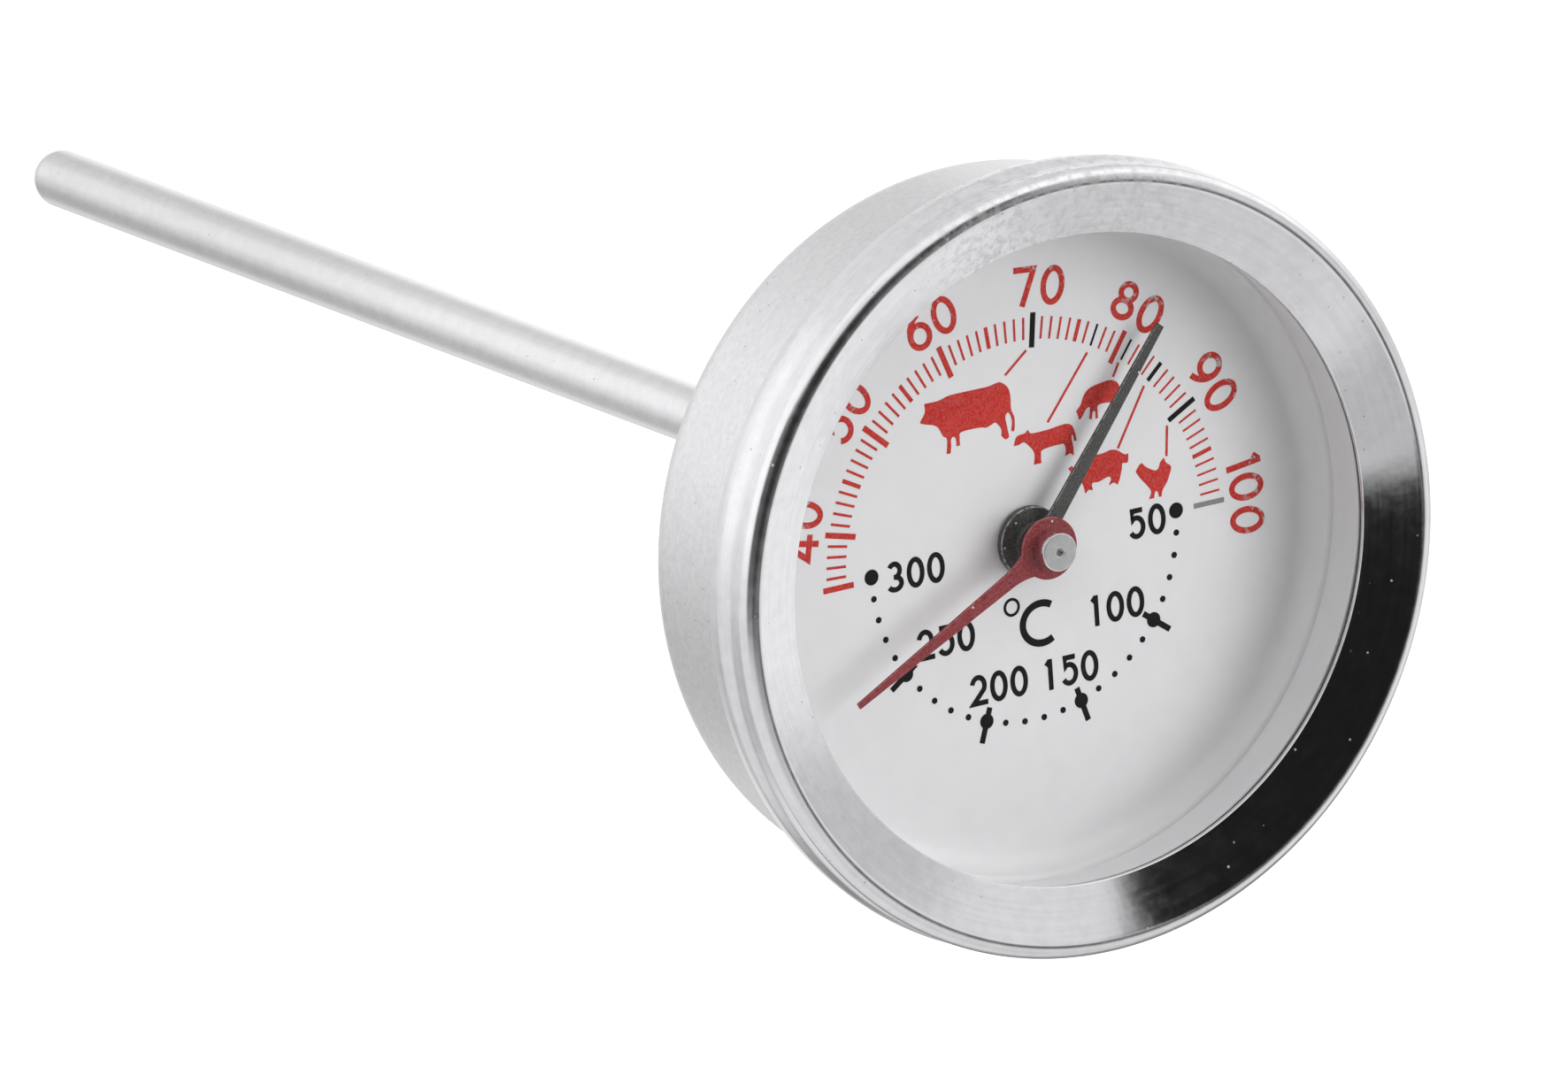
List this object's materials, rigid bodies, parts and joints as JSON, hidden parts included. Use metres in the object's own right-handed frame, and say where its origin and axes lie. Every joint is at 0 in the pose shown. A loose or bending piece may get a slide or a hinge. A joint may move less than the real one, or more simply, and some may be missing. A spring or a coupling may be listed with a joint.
{
  "type": "meat thermometer",
  "caption": "Round steel dial thermometer with a glass window, a red meat pointer, a black oven pointer and a long straight probe stem.",
  "frame": {"origin": "centre of the case's back outer face, on the axis, where the stem leaves", "axes": "+Y along the stem to its tip, so the dial faces -Y; +Z is the dial's 12 o'clock and +X its 3 o'clock"},
  "size_m": [0.055, 0.1385, 0.055],
  "materials": {
    "bezel_steel": "satin-polished stainless steel, turned",
    "case_steel": "matt stainless steel, fine pitted satin",
    "stem_steel": "satin stainless steel tube",
    "window_glass": "clear flat glass",
    "gasket_rubber": "matt black",
    "ring_aluminium": "satin",
    "bush_aluminium": "turned",
    "dial_silver": "satin silver-white lacquer with printed scales",
    "red_enamel": "satin red enamel",
    "black_enamel": "matt black enamel, worn at the edges",
    "movement_brass": "plain",
    "bracket_steel": "zinc-plated strip",
    "screw_steel": "plain",
    "bimetal": "bimetal strip, coppery on one side"
  },
  "bodies": {
    "case": {"bezel_ring": "bezel_steel", "glass_lens": "window_glass", "lens_gasket": "gasket_rubber", "spacer_ring": "ring_aluminium", "dial_plate": "dial_silver", "bridge_screw_right": "screw_steel", "bridge_screw_left": "screw_steel", "bridge_plate": "movement_brass", "movement_bracket": "bracket_steel", "movement_ring": "ring_aluminium", "oven_bimetal": "bimetal", "spiral_post": "screw_steel", "rear_case": "case_steel", "stem_nut": "movement_brass", "lock_washer": "screw_steel", "stem_collar": "stem_steel", "stem_tube": "stem_steel", "front_guide": "movement_brass", "tip_guide": "movement_brass", "meat_bimetal": "bimetal", "helix_anchor": "movement_brass"},
    "meat_movement": {"pointer_bush": "bush_aluminium", "meat_pointer": "red_enamel", "meat_rod": "screw_steel", "helix_hub": "movement_brass"},
    "oven_movement": {"oven_pointer": "black_enamel", "oven_hub": "black_enamel", "oven_sleeve": "movement_brass", "spiral_arbor": "movement_brass"}
  },
  "joints": [
    {"name": "meat_pointer_turn", "type": "hinge", "parent": "case", "child": "meat_movement", "pos_m": [0, 0, 0], "axis": [0, 1, 0], "range_deg": [-70, 220], "stiffness_Nm_per_rad": 0.00026, "deforming": ["meat_bimetal"]},
    {"name": "oven_pointer_turn", "type": "hinge", "parent": "case", "child": "oven_movement", "pos_m": [0, 0, 0], "axis": [0, 1, 0], "range_deg": [-18, 244], "stiffness_Nm_per_rad": 0.0004, "deforming": ["oven_bimetal"]}
  ]
}
